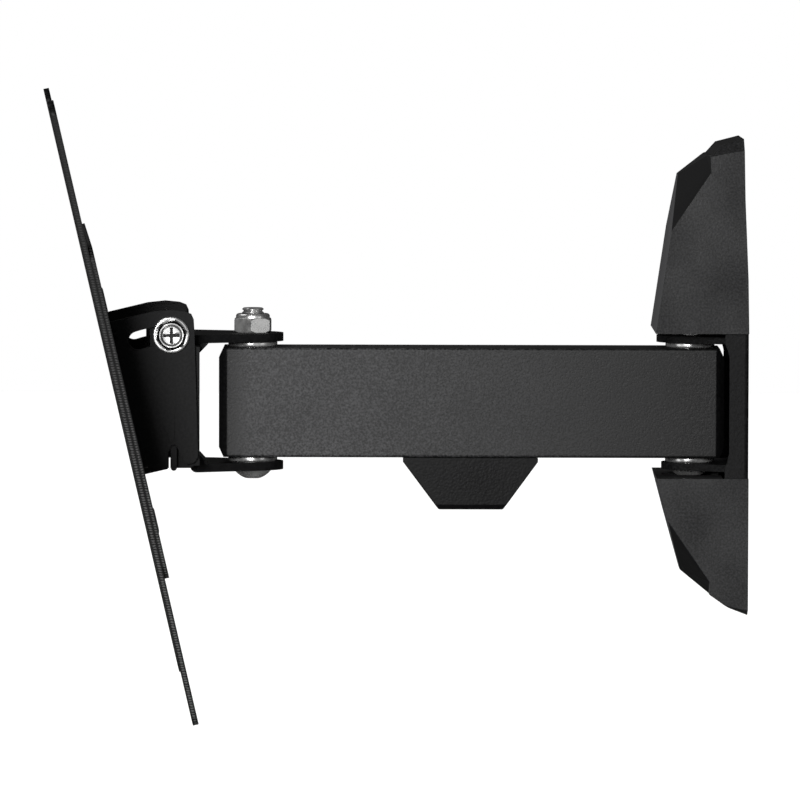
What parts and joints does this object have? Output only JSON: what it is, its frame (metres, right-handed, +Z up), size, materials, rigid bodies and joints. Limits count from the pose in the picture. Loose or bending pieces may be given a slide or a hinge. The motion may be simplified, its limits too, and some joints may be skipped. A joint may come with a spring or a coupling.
{
  "type": "full motion tv wall mount",
  "caption": "Single-arm swivelling and tilting wall mount: covered wall plate, square-tube arm with cable clip, swivel bracket and H-shaped screw plate for a flat television.",
  "frame": {"origin": "on the wall-contact face of the wall plate, in line with the arm's centre line", "axes": "+X points into the wall and the television side is -X, +Z is up, Y is sideways"},
  "size_m": [0.2618, 0.2264, 0.2206],
  "materials": {
    "black_steel": "matt black textured powder coat",
    "arm_paint": "matt black fine-grained powder coat",
    "head_paint": "smooth satin black powder coat",
    "cover_plastic": "black moulded plastic with a fine spark texture",
    "cap_plastic": "black moulded plastic, smooth",
    "zinc_steel": "bright zinc-plated steel",
    "bush_steel": "plain turned steel"
  },
  "bodies": {
    "wall": {"wall_plate": "black_steel", "wall_hinge_bracket": "black_steel", "upper_cover": "cover_plastic", "lower_cover": "cover_plastic", "wall_pivot_bolt": "zinc_steel", "wall_pivot_nut": "zinc_steel", "wall_washer_upper": "zinc_steel", "wall_washer_lower": "zinc_steel"},
    "arm": {"arm_tube": "arm_paint", "arm_cap_wall": "cap_plastic", "arm_cap_tv": "cap_plastic", "arm_bush_wall": "bush_steel", "arm_bush_tv": "bush_steel", "cable_clip": "cap_plastic"},
    "swivel": {"swivel_bracket": "head_paint", "head_pivot_bolt": "zinc_steel", "head_pivot_nut": "zinc_steel", "head_washer_upper": "zinc_steel", "head_washer_lower": "zinc_steel", "tilt_bolt_near": "zinc_steel", "tilt_bolt_far": "zinc_steel", "tilt_washer_near": "zinc_steel", "tilt_washer_far": "zinc_steel", "tilt_nut_near": "zinc_steel", "tilt_nut_far": "zinc_steel"},
    "tv_head": {"tilt_ear_near": "head_paint", "tilt_ear_far": "head_paint", "vesa_centre_plate": "head_paint", "vesa_bar_near": "head_paint", "vesa_bar_far": "head_paint", "bar_rivet_near_upper": "head_paint", "bar_rivet_near_lower": "head_paint", "bar_rivet_far_upper": "head_paint", "bar_rivet_far_lower": "head_paint"}
  },
  "joints": [
    {"name": "wall_swivel", "type": "hinge", "parent": "wall", "child": "arm", "pos_m": [-0.0204, 0, 0], "axis": [0, 0, 1], "range_deg": [-90, 90]},
    {"name": "head_swivel", "type": "hinge", "parent": "arm", "child": "swivel", "pos_m": [-0.1804, 0, 0], "axis": [0, 0, 1], "range_deg": [-88, 82]},
    {"name": "tilt", "type": "hinge", "parent": "swivel", "child": "tv_head", "pos_m": [-0.21016, -0.00156, -0.0151], "axis": [-0.0523, 0.9986, 0], "range_deg": [-1.8, 16.8]}
  ]
}
